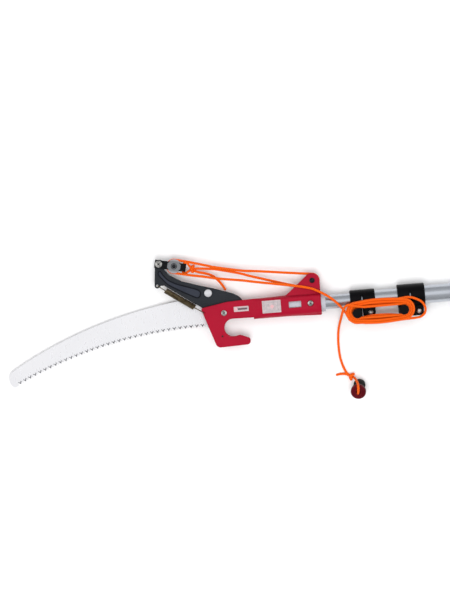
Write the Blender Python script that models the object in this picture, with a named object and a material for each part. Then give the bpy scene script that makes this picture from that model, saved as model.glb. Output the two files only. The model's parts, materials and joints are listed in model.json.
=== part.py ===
"""Telescoping pole saw with a rope-operated lopper, lying on its side with the pole pushed together.

Pole frame: +X along the pole from the head to the butt, +Y towards the side of the lever arm,
+Z up from the surface that the saw lies on. The functions below take millimetres in the pole frame,
measured from the pole's axis at the head's rear end, unless they say otherwise. The model's own
origin is the middle of its base, which the saw_frame empty sets.
"""
import math

import bmesh
import bpy
from mathutils import Matrix, Vector

MM = 0.001

# Driving dimensions, in millimetres
TUBE_STEPS = 32                      # sides of the round tubes
SMALL_STEPS = 12                     # sides of screws, rivets, holes and bushes
INNER_TUBE_R = 11.0                  # outer radius of each tube
MIDDLE_TUBE_R = 12.5
OUTER_TUBE_R = 14.0
TUBE_WALL = 1.2
TUBE_LENGTH = 1100.0                 # middle and outer tube
INNER_TUBE = (-94.0, 1036.0)         # front and rear end of the inner tube
MIDDLE_TUBE_FRONT = 50.6
OUTER_TUBE_FRONT = 126.2
BUTT_CAP_LENGTH = 34.0
COLLAR_1 = (31.4, 70.6)              # front and rear end of each clamp collar
COLLAR_2 = (105.9, 148.8)
COLLAR_1_R = 15.7
COLLAR_2_R = 18.6
KNOB_X = (40.6, 113.8)               # clamp knobs
KNOB_Y = -21.4
AXIS_HEIGHT = COLLAR_2_R             # the saw rests on its largest collar

SHELL_HALF = 8.0                     # half thickness of the head's front
BARREL_HALF = 15.6                   # half thickness of its socket
PARTING = 0.15                       # half the gap between the two shells
PIVOT = (-167.3, -4.2)               # lever arm's pivot
LUG = (-25.6, 35.9)                  # rear sheave's axle
REAR_SCREW = (-31.0, 0.4)
BLADE_PIN = (-172.4, -40.4)          # second fixing of the saw blade
SPRING_HOLE = (-198.4, -1.7)
MOUTH = (-154.5, -28.0)              # centre of the hook's mouth
MOUTH_R = 13.9
ARM_HALF = 2.0                       # half thickness of the lever arm
TIP_BOLT = (-263.5, 80.5)
LOBE = (-268.3, 46.8)                # spring hole at the arm's corner
LEVER_RIVET = (-189.8, 28.9)
CUTTER_Z = (-5.3, -2.3)              # lopping blade, under the lever arm
BLADE_Z = (-9.8, -8.3)               # saw blade, under the lower shell
BACK_ARC = (-156.3, -671.5, 696.1)   # saw blade's back edge: centre and radius
TEETH_ARC = (-200.6, -700.9, 677.2)  # line of the tooth tips
TOOTH_PITCH = 4.43
TOOTH_DEPTH = 4.0
BLOCK_TILT = -12.6                   # tip block's direction, degrees from +X
SHEAVE_REACH = 24.3                  # tip bolt to tip sheave
BLOCK_LENGTH = 43.3                  # tip bolt to the becket's end
SHEAVE_R = 11.3
CORD_R = 1.9
ROPE_PITCH_R = 10.3                  # cord's middle on a sheave

HANK_Y = -20.1                       # middle line of the cord hank
HANK_INNER_R = 6.4
HANK_OUTER_R = 17.6
HANK_BASE = 19.5                     # height of the hank's underside above the axis, at y = 0
HANK_SLOPE = 0.25                    # fall of the hank towards -Y
HANK_HEIGHT = 10.9
HANDLE_TILT = 25.0                   # degrees, pull handle's lean away from the pole
HANDLE_HEADING = -18.7               # degrees, direction of the line that it leans about
HANDLE_FOOT = (36.6, -132.4)

# Middle of the model's box, in the pole frame, without the loose cord
CENTRE_X = 359.45
CENTRE_Y = -3.58

COLOURS = {                          # colour, roughness, metallic
    "red": ((0.50, 0.006, 0.03), 0.35, 0.0),
    "black": ((0.006, 0.006, 0.007), 0.25, 0.0),
    "arm": ((0.042, 0.048, 0.054), 0.45, 0.3),
    "steel": ((0.85, 0.85, 0.88), 0.25, 1.0),
    "chrome": ((0.75, 0.75, 0.73), 0.12, 1.0),
    "dark_steel": ((0.08, 0.08, 0.085), 0.4, 0.8),
    "aluminium": ((0.55, 0.57, 0.59), 0.35, 1.0),
    "white": ((0.72, 0.72, 0.76), 0.4, 0.0),
    "grey": ((0.25, 0.26, 0.27), 0.45, 0.5),
    "spring": ((0.13, 0.10, 0.06), 0.4, 0.8),
    "cord": ((1.0, 0.12, 0.005), 0.8, 0.0),
    "dark_red": ((0.18, 0.002, 0.01), 0.5, 0.0),
    "dark_grey": ((0.03, 0.03, 0.028), 0.6, 0.0),
    "label": ((0.6, 0.6, 0.62), 0.4, 0.0),
}


# ---------------------------------------------------------------- outlines

def arc(centre, radius, start, end, steps):
    """Points of an arc, angles in degrees, both ends included."""
    points = []
    for i in range(steps + 1):
        angle = math.radians(start + (end - start) * i / steps)
        points.append((centre[0] + radius * math.cos(angle), centre[1] + radius * math.sin(angle)))
    return points


def circle(centre, radius, steps=24):
    return arc(centre, radius, 0.0, 360.0, steps)[:-1]


def fillet(corners, steps=5):
    """Closed outline from corners (x, y) or (x, y, radius), with the given corners rounded."""
    points = []
    for i, corner in enumerate(corners):
        here = Vector(corner[:2])
        radius = corner[2] if len(corner) > 2 else 0.0
        if radius == 0.0:
            points.append(tuple(here))
            continue
        back = (Vector(corners[i - 1][:2]) - here).normalized()
        ahead = (Vector(corners[(i + 1) % len(corners)][:2]) - here).normalized()
        half = back.angle(ahead) / 2
        centre = here + (back + ahead).normalized() * radius / math.sin(half)
        first = here + back * radius / math.tan(half) - centre
        last = here + ahead * radius / math.tan(half) - centre
        for k in range(steps + 1):
            turn = first.angle_signed(last) * k / steps
            point = centre + Matrix.Rotation(-turn, 2) @ first
            points.append(tuple(point))
    return points


def angle_on(circle_spec, x, side):
    """Angle in degrees at which a circle reaches x on its upper (side 1) or lower (-1) half."""
    cx, cy, radius = circle_spec
    return side * math.degrees(math.acos((x - cx) / radius))


def smooth_route(points, spacing):
    """Points about every spacing along a smooth curve through the given points."""
    points = [Vector(p) for p in points]
    ends = [2 * points[0] - points[1]] + points + [2 * points[-1] - points[-2]]
    route = []
    for a, b, c, d in zip(ends, ends[1:], ends[2:], ends[3:]):
        steps = max(1, round((c - b).length / spacing))
        for k in range(steps):
            t = k / steps
            route.append(0.5 * (2 * b + (c - a) * t + (2 * a - 5 * b + 4 * c - d) * t * t
                                + (3 * b - a - 3 * c + d) * t ** 3))
    route.append(points[-1])
    return route


# ---------------------------------------------------------------- solids

def prism(outline, low, high):
    """Upright prism on a closed outline."""
    bm = bmesh.new()
    bottom = [bm.verts.new((x, y, low)) for x, y in outline]
    top = [bm.verts.new((x, y, high)) for x, y in outline]
    bm.faces.new(bottom)
    bm.faces.new(top)
    for i in range(len(outline)):
        j = (i + 1) % len(outline)
        bm.faces.new((bottom[i], bottom[j], top[j], top[i]))
    bmesh.ops.recalc_face_normals(bm, faces=bm.faces)
    return bm


def box(x, y, z):
    """Block between two values on each axis."""
    return prism([(x[0], y[0]), (x[1], y[0]), (x[1], y[1]), (x[0], y[1])], z[0], z[1])


def turned(profile, steps=24, loop=False):
    """Solid of revolution about Z. The profile holds (radius, z); a radius of 0 is a point on the
    axis. With loop the profile's last point joins its first, as in a ring."""
    bm = bmesh.new()
    rings = []
    for radius, z in profile:
        if radius == 0.0:
            rings.append([bm.verts.new((0.0, 0.0, z))])
        else:
            rings.append([bm.verts.new((x, y, z)) for x, y in circle((0, 0), radius, steps)])
    pairs = list(zip(rings, rings[1:]))
    if loop:
        pairs.append((rings[-1], rings[0]))
    for one, two in pairs:
        for i in range(steps):
            j = (i + 1) % steps
            corners = [one[i % len(one)], one[j % len(one)], two[j % len(two)], two[i % len(two)]]
            corners = list(dict.fromkeys(corners))
            if len(corners) > 2:
                bm.faces.new(corners)
    bmesh.ops.recalc_face_normals(bm, faces=bm.faces)
    return bm


def moved(bm, at=(0, 0, 0), axis="Z"):
    """The mesh with its Z axis turned to X, Y or Z, then moved."""
    turns = {"X": Matrix.Rotation(math.pi / 2, 4, "Y"), "Y": Matrix.Rotation(-math.pi / 2, 4, "X"),
             "Z": Matrix.Identity(4)}
    bmesh.ops.transform(bm, matrix=Matrix.Translation(at) @ turns[axis], verts=bm.verts)
    return bm


def along_x(profile, steps=TUBE_STEPS, loop=False):
    """Solid of revolution about the pole's axis, from (radius, x)."""
    return moved(turned(profile, steps, loop), axis="X")


def rod(centre, radius, low, high, steps=SMALL_STEPS):
    return prism(circle(centre, radius, steps), low, high)


def lofted(sections):
    """Closed solid through loops of points with the same count, with flat ends."""
    bm = bmesh.new()
    loops = [[bm.verts.new(p) for p in section] for section in sections]
    bm.faces.new(loops[0])
    bm.faces.new(loops[-1])
    count = len(loops[0])
    for one, two in zip(loops, loops[1:]):
        for i in range(count):
            j = (i + 1) % count
            bm.faces.new((one[i], one[j], two[j], two[i]))
    bmesh.ops.recalc_face_normals(bm, faces=bm.faces)
    return bm


def round_bar(profile, steps=TUBE_STEPS):
    """Solid round bar about the pole's axis, from (radius, x), with flat ends."""
    return lofted([[(x, y, z) for y, z in circle((0.0, 0.0), radius, steps)] for radius, x in profile])


# ---------------------------------------------------------------- objects

def make_materials():
    made = {}
    for name, (colour, roughness, metallic) in COLOURS.items():
        material = bpy.data.materials.new(name)
        material.use_nodes = True
        shader = material.node_tree.nodes["Principled BSDF"]
        shader.inputs["Base Color"].default_value = (*colour, 1.0)
        shader.inputs["Roughness"].default_value = roughness
        shader.inputs["Metallic"].default_value = metallic
        made[name] = material
    return made


class Place:
    """An empty that pieces are built around: at a point in the pole frame, or turned as well."""

    def __init__(self, name, at, parent=None, turn=None):
        self.empty = bpy.data.objects.new(name, None)
        bpy.context.collection.objects.link(self.empty)
        self.at = Vector(at)
        self.local = turn is not None
        place = Matrix.Translation(self.at * MM)
        if parent is not None:
            self.empty.parent = parent.empty
            place = Matrix.Translation((self.at - parent.at) * MM)
        self.empty.matrix_local = place @ turn if turn is not None else place


def add_object(name, bm, place):
    """An object whose mesh, in pole-frame millimetres, is kept about its place's origin. A turned
    place takes its own frame instead."""
    if not place.local:
        bmesh.ops.translate(bm, vec=-place.at, verts=bm.verts)
    bmesh.ops.scale(bm, vec=(MM, MM, MM), verts=bm.verts)
    mesh = bpy.data.meshes.new(name)
    bm.to_mesh(mesh)
    bm.free()
    obj = bpy.data.objects.new(name, mesh)
    bpy.context.collection.objects.link(obj)
    obj.parent = place.empty
    return obj


def piece(name, bm, material, place, bevel=0.0, cut=(), joined=()):
    """A named part, with its edges bevelled, more solids joined on and others cut out."""
    obj = add_object(name, bm, place)
    obj.data.materials.append(MATERIALS[material])
    if bevel:
        rounding = obj.modifiers.new("rounding", "BEVEL")
        rounding.width = bevel * MM
        rounding.segments = 1
        rounding.angle_limit = math.radians(50)
    for operation, tools in (("UNION", joined), ("DIFFERENCE", cut)):
        for i, tool in enumerate(tools):
            other = add_object(f"{name}.{operation.lower()}.{i}", tool, place)
            other.hide_render = True
            other.display_type = "WIRE"
            step = obj.modifiers.new(f"{operation.lower()} {i}", "BOOLEAN")
            step.operation = operation
            step.object = other
    obj.data.shade_smooth()
    obj.data.set_sharp_from_angle(angle=math.radians(35))
    return obj


def cord(name, points, place, spacing=8.0, radius=CORD_R):
    """A stretch of cord as a bevelled curve through the given points."""
    curve = bpy.data.curves.new(name, "CURVE")
    curve.dimensions = "3D"
    curve.bevel_depth = radius * MM
    curve.bevel_resolution = 2
    curve.use_fill_caps = True
    route = smooth_route(points, spacing)
    spline = curve.splines.new("POLY")
    spline.points.add(len(route) - 1)
    for slot, point in zip(spline.points, route):
        slot.co = (*((point - place.at) * MM), 1.0)
    curve.materials.append(MATERIALS["cord"])
    obj = bpy.data.objects.new(name, curve)
    bpy.context.collection.objects.link(obj)
    obj.parent = place.empty
    return obj


# ---------------------------------------------------------------- fasteners

def button_screw(at, head_r, head_z, shank_r, end_z):
    """Round-headed screw along Z with a hexagon socket; head_z is the head's seat, and its sign of
    (head_z - end_z) says which way the head looks."""
    up = 1 if head_z > end_z else -1
    height = head_r * 0.55
    socket = head_z + up * height * 0.45
    top = head_z + up * height
    body = turned([(0.0, end_z), (shank_r, end_z), (shank_r, head_z), (head_r, head_z),
                   (head_r, head_z + up * height * 0.4), (head_r * 0.75, head_z + up * height * 0.85),
                   (head_r * 0.45, top), (head_r * 0.42, socket), (0.0, socket)], SMALL_STEPS)
    return moved(body, (*at, 0.0))


def hex_nut(at, across, bore_r, low, high):
    outer = circle((0, 0), across / 2 / math.cos(math.pi / 6), 6)
    bm = bmesh.new()
    rings = []
    for z in (low, high):
        rings.append(([bm.verts.new((x, y, z)) for x, y in outer],
                      [bm.verts.new((x, y, z)) for x, y in circle((0, 0), bore_r, 12)]))
    for k in (0, 1):
        hexagon, bore = rings[k]
        for i in range(6):
            j = (i + 1) % 6
            bm.faces.new((hexagon[i], hexagon[j], bore[(2 * i + 2) % 12], bore[2 * i + 1], bore[2 * i]))
    for k in (0, 1):
        count = 6 if k == 0 else 12
        for i in range(count):
            j = (i + 1) % count
            bm.faces.new((rings[0][k][i], rings[0][k][j], rings[1][k][j], rings[1][k][i]))
    bmesh.ops.recalc_face_normals(bm, faces=bm.faces)
    return moved(bm, (*at, 0.0))


def rivet(at, head_r, head_low, head_high, shank_r, tail_low, tail_high):
    """Domed rivet along Z: head above, formed tail below."""
    dome = head_high - head_low
    return moved(turned([
        (0.0, tail_low), (head_r * 0.7, tail_low), (head_r * 0.75, tail_high), (shank_r, tail_high),
        (shank_r, head_low), (head_r, head_low), (head_r * 0.93, head_low + dome * 0.5),
        (head_r * 0.6, head_low + dome * 0.88), (0.0, head_high)], SMALL_STEPS), (*at, 0.0))


# ---------------------------------------------------------------- head

def housing_outline():
    """Side outline of both shells, anticlockwise from the hook's rear corner."""
    mouth = arc(MOUTH, MOUTH_R, 90.0, 281.0, 14)
    return fillet([(-114.6, -14.8), (-75.5, -16.8), (-14.3, -19.1, 2.0), (-13.7, 61.3, 11.9),
                   (-68.2, 15.7, 8.0), (-108.3, 14.5), (-133.1, 14.1), (-162.0, 12.9),
                   (-203.0, 5.9, 2.5), (-193.5, -23.1), (-181.7, -57.9, 8.0), (-129.6, -56.1, 5.4),
                   (-128.6, -46.3, 4.6), (-144.5, -40.1, 2.5)] + mouth[::-1])


def arm_pocket():
    """Room for the lever arm's hub inside the shells: a disc, with flat walls in front and below."""
    reach = 39.2
    rear = math.degrees(math.asin((-12.9 - PIVOT[1]) / reach))
    front_wall = (-203.9, 7.5)
    return arc(PIVOT, reach, rear, 180.0 - 12.0, 24) + [front_wall, (-174.0, -12.9)]


def cutter_sweep():
    """Room for the lopping blade: a sector in front of the pivot, down across the mouth."""
    return [PIVOT] + arc(PIVOT, 50.8, -64.0, 24.0, 12)


def barrel(side):
    """Raised socket on one shell. It rises from the flat front over a short ramp."""
    def section(x, share):
        high = SHELL_HALF + (BARREL_HALF - SHELL_HALF) * share
        root = PARTING + 1.5
        points = [(-17.4, root), (-17.0, high * 0.55), (-14.2, high * 0.85), (-10.6, high),
                  (10.6, high), (12.9, high * 0.87), (14.3, high * 0.55), (14.6, root)]
        return [(x, y, side * z) for y, z in points]
    return lofted([section(-121.0, -0.06), section(-108.0, 0.9), section(-104.0, 1.0),
                   section(-17.0, 1.0), section(-14.6, 0.93)])


def shell(name, side):
    """One half of the head's casing; side is 1 above and -1 below."""
    def span(low, high):
        return sorted((side * low, side * high))

    low, high = span(PARTING, SHELL_HALF)
    depth = ARM_HALF + 0.3 if side > 0 else -CUTTER_Z[0] + 0.3
    pocket = span(-1.0, depth)
    through = span(-1.0, BARREL_HALF + 2.0)
    cuts = [
        prism(arm_pocket(), *pocket),
        rod(PIVOT, 11.0 if side > 0 else 16.6, *pocket, 20),
        round_bar([(13.3, -102.0), (13.3, 0.0)]),
        box((-62.0, 2.0), (23.6, 60.0), span(-1.0, 3.4)),
        rod(PIVOT, 2.75, *through),
        rod(REAR_SCREW, 2.75, *through),
        rod(LUG, 2.2, *through),
        rod(BLADE_PIN, 1.45, *through),
        rod(SPRING_HOLE, 1.0, *through),
    ]
    if side > 0:
        cuts.append(rod(REAR_SCREW, 5.2, BARREL_HALF - 1.6, BARREL_HALF + 2.0, 20))
        cuts.append(box((-65.2, -45.6), (-4.4, 5.4), (5.0, 20.0)))
    else:
        cuts.append(prism(cutter_sweep(), *pocket))
    outline = prism(housing_outline(), low, high)
    piece(name, outline, "red", HEAD, bevel=0.9, cut=cuts, joined=[barrel(side)])


def head():
    shell("housing_top_shell", 1)
    shell("housing_bottom_shell", -1)

    piece("pole_adapter",
          along_x([(11.2, -98.0), (13.0, -98.0), (13.0, -13.9), (14.3, -13.9), (14.0, -7.4), (11.2, -7.0)],
                  loop=True),
          "white", HEAD, cut=[rod(REAR_SCREW, 2.75, -15, 15)])
    piece("inner_tube", tube(INNER_TUBE_R, *INNER_TUBE), "aluminium", HEAD,
          cut=[rod(REAR_SCREW, 2.75, -15, 15)])
    piece("inner_glide", glide(INNER_TUBE_R, MIDDLE_TUBE_R, INNER_TUBE[1]), "white", HEAD)
    piece("saw_blade", saw_blade(), "steel", HEAD,
          cut=[rod(PIVOT, 2.75, -12, -6), rod(BLADE_PIN, 1.45, -12, -6)])

    piece("pivot_bolt", button_screw(PIVOT, 4.5, SHELL_HALF + 0.2, 2.4, -14.2), "chrome", HEAD)
    piece("pivot_nut", hex_nut(PIVOT, 8.0, 2.6, -14.0, -10.1), "chrome", HEAD)
    bush = turned([(2.7, -5.3), (3.8, -5.3), (3.8, 2.0), (2.7, 2.0)], SMALL_STEPS, loop=True)
    piece("pivot_bush", moved(bush, (*PIVOT, 0)), "dark_steel", HEAD)
    piece("blade_screw", button_screw(BLADE_PIN, 2.3, BLADE_Z[0] - 0.2, 1.2, SHELL_HALF - 0.2), "dark_steel",
          HEAD)
    piece("rear_screw", button_screw(REAR_SCREW, 4.5, BARREL_HALF - 1.4, 2.4, -BARREL_HALF + 0.4), "chrome",
          HEAD)
    piece("sheave_axle", rivet(LUG, 4.4, 8.2, 10.0, 2.0, -9.6, -8.2), "dark_steel", HEAD)
    spring()
    piece("maker_label", box((-151.5, -128.2), (-3.9, 4.2), (SHELL_HALF + 0.1, SHELL_HALF + 0.5)),
          "label", HEAD)
    piece("guide_label", box((-102.6, -77.6), (-9.8, 9.8), (BARREL_HALF + 0.1, BARREL_HALF + 0.5)),
          "label", HEAD)
    sheave("rear_sheave", Place("rear_sheave_hub", (*LUG, 0.0), HEAD))


def sheave(name, place):
    """Grooved wheel for the cord, turned about its place's Z axis."""
    groove = ROPE_PITCH_R - CORD_R - 0.2
    profile = [(2.4, -3.1), (SHEAVE_R, -3.1), (SHEAVE_R, -2.7), (groove, -1.4), (groove, 1.4),
               (SHEAVE_R, 2.7), (SHEAVE_R, 3.1), (2.4, 3.1)]
    wheel = turned(profile, 24, loop=True)
    piece(name, moved(wheel, place.at), "white", place)


def saw_blade():
    """Curved pull-stroke blade with triangular teeth on its hollow edge, and its tang."""
    teeth_cx, teeth_cy, tip_r = TEETH_ARC
    first = -angle_on(TEETH_ARC, -196.0, -1)
    last = -angle_on(TEETH_ARC, -500.0, -1)
    count = round(math.radians(last - first) * tip_r / TOOTH_PITCH)
    edge = []
    for i in range(count):
        start = first + (last - first) * i / count
        step = (last - first) / count
        edge += arc((teeth_cx, teeth_cy), tip_r + TOOTH_DEPTH, start, start, 1)[:1]
        edge += arc((teeth_cx, teeth_cy), tip_r, start + step / 2, start + step / 2, 1)[:1]
    back_cx, back_cy, back_r = BACK_ARC
    back = arc((back_cx, back_cy), back_r, angle_on(BACK_ARC, -492.0, 1), angle_on(BACK_ARC, -236.0, 1), 16)
    nose = [(-504.5, -95.3), (-509.0, -91.4), (-511.5, -84.5), (-511.2, -78.0), (-507.5, -71.0)]
    tang = fillet([(-214.0, 15.0, 8.0), (-184.0, 6.5, 6.0), (-157.5, 6.5, 8.0), (-157.5, -10.0, 6.0),
                   (-171.0, -16.0, 4.0), (-170.0, -37.0, 3.0), (-165.6, -46.0, 5.0), (-179.6, -48.0, 5.0),
                   (-187.0, -31.0, 2.0), (-193.5, -26.0, 2.0)])
    return prism(edge + nose + back + tang, *BLADE_Z)


def spring():
    """Return spring between the head and the lever arm: its coils as one closed sleeve on a straight
    wire, and the wire of the hook at the arm's end, which moves away from the coils."""
    low = Vector((*SPRING_HOLE, 0.0))
    reach = Vector((*LOBE, 0.0)) - low
    length = reach.length
    turn = Vector((0, 0, 1)).rotation_difference(reach).to_matrix().to_4x4()
    coils = turned([(0.0, 5.4), (0.8, 5.4), (0.8, 16.0), (4.7, 19.0), (4.7, length - 16.0),
                    (0.8, length - 12.0), (0.0, length - 12.0)], 16)
    hook = turned([(0.0, length - 11.7), (0.8, length - 11.7), (0.8, length - 4.9), (0.0, length - 4.9)], 8)
    for name, body, place in (("return_spring", coils, SPRING), ("spring_hook", hook, SPRING)):
        bmesh.ops.transform(body, matrix=Matrix.Translation(low) @ turn, verts=body.verts)
        piece(name, body, "spring", place)


# ---------------------------------------------------------------- lever arm and lopping blade

def arm_outline():
    hub = arc(PIVOT, 10.0, -11.0, -124.6, 10)
    lobe = arc(LOBE, 4.3, -35.0, -180.0, 8)
    return fillet([(-268.8, 87.6, 6.0), (-256.9, 86.9, 5.0), (-254.6, 70.0, 6.0), (-247.6, 61.4, 12.0),
                   (-229.2, 50.6, 20.0), (-199.9, 41.4), (-184.1, 36.9), (-165.6, 30.8),
                   (-150.9, 25.6, 10.0), (-142.0, 20.4, 6.0), (-136.6, 14.2, 1.5)] + hub
                  + [(-202.5, 7.9), (-255.8, 44.7), (-257.4, 46.2), (-262.6, 46.2)] + lobe, 3)


def bean(inset):
    """Outline of the panel pressed into the arm, drawn in from its edge by inset."""
    a = inset
    return fillet([(-263.2 + a, 70.5 - a, 2.4), (-252.3 + a, 55.0 - a, 14.0), (-229.7, 45.0 - a),
                   (-201.0 - a, 35.0 - a, 5.0 - a), (-205.4 - a, 21.0 + 1.3 * a, 5.0 - a),
                   (-230.5, 33.6 + a), (-250.5, 45.6 + 1.2 * a, 14.0), (-267.2 + 1.3 * a, 64.5, 2.4)], 3)


def lever():
    """Lever arm, lopping blade, their rivet and the bolt that carries the tip block."""
    recess = prism(bean(0.0), ARM_HALF - 0.6, ARM_HALF + 1.0)
    piece("lever_arm", prism(arm_outline(), -ARM_HALF, ARM_HALF), "arm", CUTTER, bevel=0.4,
          cut=[recess, rod(PIVOT, 4.1, -3, 3), rod(LOBE, 1.7, -3, 3, 16), rod(TIP_BOLT, 2.7, -3, 3),
               rod(LEVER_RIVET, 2.7, -3, 3)])
    px, py = PIVOT
    rx, ry = LEVER_RIVET
    blade = fillet([(px - 2.0, py - 9.4, 3.0), (px + 47.6, py - 9.2, 0.8), (px + 50.0, py - 1.5, 3.0),
                    (px + 38.0, py + 9.0, 10.0), (px + 8.6, py + 9.0, 6.0), (rx + 6.2, ry + 11.5, 6.5),
                    (rx - 10.4, ry + 1.0, 6.5), (px - 11.2, py - 3.4, 8.0)])
    piece("lopping_blade", prism(blade, *CUTTER_Z), "steel", CUTTER,
          cut=[rod(PIVOT, 4.1, -7, -1), rod(LEVER_RIVET, 2.7, -7, -1)])
    piece("lever_rivet", rivet(LEVER_RIVET, 6.2, ARM_HALF + 0.2, ARM_HALF + 2.4, 2.5, -7.0, -5.5), "white",
          CUTTER)
    piece("tip_bolt", button_screw(TIP_BOLT, 5.6, 5.7, 2.4, -9.8), "chrome", CUTTER)
    piece("tip_nut", hex_nut(TIP_BOLT, 8.0, 2.6, -9.4, -5.7), "chrome", CUTTER)
    for name, low in (("tip_spacer_top", 2.2), ("tip_spacer_bottom", -3.4)):
        ring = turned([(2.6, low), (5.0, low), (5.0, low + 1.2), (2.6, low + 1.2)], SMALL_STEPS, loop=True)
        piece(name, moved(ring, (*TIP_BOLT, 0.0)), "dark_steel", CUTTER)


# ---------------------------------------------------------------- tip block

def tip_block():
    """Becket strap, cheeks, rivet and sheave. X runs from the tip bolt towards the head."""
    end = BLOCK_LENGTH
    outer = fillet([(-6.4, -5.4), (end, -5.4, 2.4), (end, 5.4, 2.4), (-6.4, 5.4)], 3)
    inner = fillet([(-6.4, 3.6), (end - 1.8, 3.6, 1.0), (end - 1.8, -3.6, 1.0), (-6.4, -3.6)], 3)
    strap = prism(outer + inner, -6.4, 6.4)
    bmesh.ops.rotate(strap, cent=(0, 0, 0), matrix=Matrix.Rotation(math.pi / 2, 3, "X"), verts=strap.verts)
    bore = (0.0, 0.0)
    hub = (SHEAVE_REACH, 0.0)
    piece("block_strap", strap, "black", BLOCK, cut=[rod(bore, 2.7, -8, 8), rod(hub, 2.4, -8, 8)])
    plate = fillet([(hub[0] - 10.5, -3.6), (hub[0] - 6.0, -7.2), (hub[0] + 6.0, -7.2), (hub[0] + 10.5, -3.6),
                    (hub[0] + 10.5, 3.6), (hub[0] + 6.0, 7.2), (hub[0] - 6.0, 7.2), (hub[0] - 10.5, 3.6)])
    for name, low in (("block_cheek_top", 5.6), ("block_cheek_bottom", -7.2)):
        piece(name, prism(plate, low, low + 1.6), "grey", BLOCK, bevel=0.3, cut=[rod(hub, 2.4, -9, 9)])
    piece("block_rivet", rivet(hub, 3.3, 7.4, 9.0, 2.1, -8.8, -7.4), "dark_steel", BLOCK)
    sheave("tip_sheave", Place("tip_sheave_hub", TIP_SHEAVE, Root))


# ---------------------------------------------------------------- pole

def tube(radius, start, end):
    return along_x([(radius - TUBE_WALL, start), (radius, start), (radius, end), (radius - TUBE_WALL, end)],
                   loop=True)


def glide(tube_r, around_r, end):
    """Plastic plug in a tube's rear end, with a flange that runs in the next tube."""
    plug = tube_r - TUBE_WALL - 0.15
    flange = around_r - TUBE_WALL - 0.15
    return along_x([(plug - 1.6, end - 14.0), (plug, end - 14.0), (plug, end + 0.3), (flange, end + 0.3),
                    (flange, end + 5.0), (plug - 1.6, end + 5.0)], loop=True)


def collar(name, place, ends, radius, tube_r, inner_r, tube_front, lug_rear, lug_low, knob_x, screw):
    """Double clamp collar: the rear half grips the outer tube, the front half clamps the inner one."""
    front, rear = ends
    lug_top = 9.0
    slit = tube_front - 0.6
    root = 3.0 - inner_r
    ears = [
        prism(fillet([(front + 0.5, root), (front + 0.5, KNOB_Y - 8.0, 5.0), (slit + 0.3, KNOB_Y - 8.0, 4.0),
                      (slit + 0.3, root)]), -lug_top, lug_top),
        prism(fillet([(slit - 0.3, root), (slit - 0.3, lug_low, 3.0), (lug_rear, lug_low, 5.0),
                      (lug_rear, root)]), -lug_top + 0.2, lug_top - 0.2),
    ]
    body = round_bar([(radius - 0.8, front), (radius, front + 0.8), (radius, rear - 0.8),
                      (radius - 0.8, rear)])
    cuts = [
        round_bar([(inner_r + 0.3, front - 5.0), (inner_r + 0.3, tube_front - 0.4),
                   (tube_r + 0.3, tube_front - 0.4), (tube_r + 0.3, rear + 5.0)]),
        box((front - 1.0, rear + 1.0), (-60.0, -5.0), (-1.0, 1.0)),
        box((slit - 0.8, slit + 0.8), (-60.0, 6.5), (-30.0, 30.0)),
        rod((knob_x, KNOB_Y), 2.75, -12, 12),
        rod(screw, 2.2, -12, 12),
    ]
    piece(name, body, "black", place, joined=ears, cut=cuts)


def clamp(number, place, ends, radius, tube_r, inner_r, tube_front, lug_rear, lug_low, screw):
    """A collar with its fixing screw, clamp bolt and knob."""
    knob_x = KNOB_X[number - 1]
    spot = (knob_x, KNOB_Y)
    collar(f"clamp_{number}_collar", place, ends, radius, tube_r, inner_r, tube_front, lug_rear, lug_low,
           knob_x, screw)
    piece(f"clamp_{number}_screw", button_screw(screw, 3.9, 9.2, 2.0, -13.0), "chrome", place)
    piece(f"clamp_{number}_nut", hex_nut(screw, 7.0, 2.2, -12.6, -9.3), "chrome", place)
    bolt = turned([(0.0, -13.4), (5.4, -13.4), (5.4, -9.3), (2.4, -9.3), (2.4, 22.0), (0.0, 22.0)],
                  SMALL_STEPS)
    piece(f"clamp_{number}_bolt", moved(bolt, (*spot, 0.0)), "dark_steel", place)
    hub = Place(f"clamp_{number}_knob_axis", (*spot, 0.0), place)
    neck = 4.6
    knob = turned([(2.7, 9.3), (5.0, 9.3), (5.0, 10.6), (neck, 11.2), (neck, 27.8), (7.7, 29.0),
                   (7.7, 32.4), (6.6, 33.6), (0.0, 34.0), (0.0, 24.0), (2.7, 24.0)], 20, loop=True)
    piece(f"clamp_{number}_knob", moved(knob, (*spot, 0.0)), "black", hub)


def pole():
    piece("middle_tube", tube(MIDDLE_TUBE_R, MIDDLE_TUBE_FRONT, MIDDLE_TUBE_FRONT + TUBE_LENGTH), "aluminium",
          MIDDLE)
    piece("middle_glide", glide(MIDDLE_TUBE_R, OUTER_TUBE_R, MIDDLE_TUBE_FRONT + TUBE_LENGTH), "white",
          MIDDLE)
    end = OUTER_TUBE_FRONT + TUBE_LENGTH
    piece("outer_tube", tube(OUTER_TUBE_R, OUTER_TUBE_FRONT, end), "aluminium", POLE)
    cap_r = COLLAR_2_R - 0.1
    grip = OUTER_TUBE_R + 0.3
    start = end - BUTT_CAP_LENGTH
    piece("butt_cap",
          along_x([(grip, start), (grip + 2.0, start), (cap_r - 1.0, start + 6.0), (cap_r, start + 8.0),
                   (cap_r, end + 2.6), (cap_r - 1.6, end + 4.2), (0.0, end + 4.2), (0.0, end + 0.3),
                   (grip, end + 0.3)], loop=True),
          "black", POLE)
    clamp(1, MIDDLE, COLLAR_1, COLLAR_1_R, MIDDLE_TUBE_R, INNER_TUBE_R, MIDDLE_TUBE_FRONT, 70.0, -26.8,
          (62.1, -21.2))
    clamp(2, POLE, COLLAR_2, COLLAR_2_R, OUTER_TUBE_R, MIDDLE_TUBE_R, OUTER_TUBE_FRONT, 145.6, -32.0,
          (138.0, -25.0))


# ---------------------------------------------------------------- cord

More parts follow.
